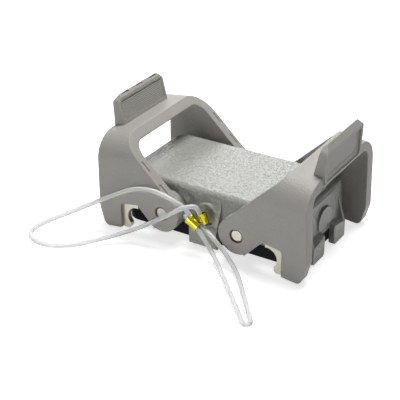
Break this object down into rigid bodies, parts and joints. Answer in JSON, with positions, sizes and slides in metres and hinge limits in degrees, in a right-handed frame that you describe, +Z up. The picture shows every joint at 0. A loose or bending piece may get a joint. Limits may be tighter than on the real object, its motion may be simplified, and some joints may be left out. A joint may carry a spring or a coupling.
{
  "type": "heavy-duty connector cover",
  "caption": "Rectangular cast protection cover for a heavy-duty connector, with a rubber rim seal, swinging locking levers and a clear retaining cord.",
  "frame": {"origin": "on the table plane, under the middle of the cover", "axes": "+X along the cover's length towards the right lever, -Y towards the cord's lug, +Z up"},
  "size_m": [0.1132, 0.091, 0.0523],
  "materials": {
    "cast_metal": "grey powder coat, fine orange peel",
    "lever_plastic": "moulded, fine matt grain",
    "seal_rubber": "matt",
    "plate_steel": "stamped, plated",
    "ferrule_brass": "bright rolled sheet",
    "clear_cord": "clear, glossy"
  },
  "bodies": {
    "cover": {"cover_body": "cast_metal", "rim_seal": "seal_rubber", "left_front_pin": "plate_steel", "left_rear_pin": "plate_steel", "right_front_pin": "plate_steel", "right_rear_pin": "plate_steel", "crimp_ferrule": "ferrule_brass", "left_loop": "clear_cord", "right_loop": "clear_cord", "anchor_loop": "clear_cord"},
    "left_lever": {"left_lever": "lever_plastic", "left_front_plate": "plate_steel", "left_rear_plate": "plate_steel"},
    "right_lever": {"right_lever": "lever_plastic", "right_front_plate": "plate_steel", "right_rear_plate": "plate_steel"}
  },
  "joints": [
    {"name": "left_lever_hinge", "type": "hinge", "parent": "cover", "child": "left_lever", "pos_m": [-0.017, 0, 0.0132], "axis": [0, -1, 0], "range_deg": [0, 70]},
    {"name": "right_lever_hinge", "type": "hinge", "parent": "cover", "child": "right_lever", "pos_m": [0.017, 0, 0.0132], "axis": [0, 1, 0], "range_deg": [0, 70]}
  ]
}
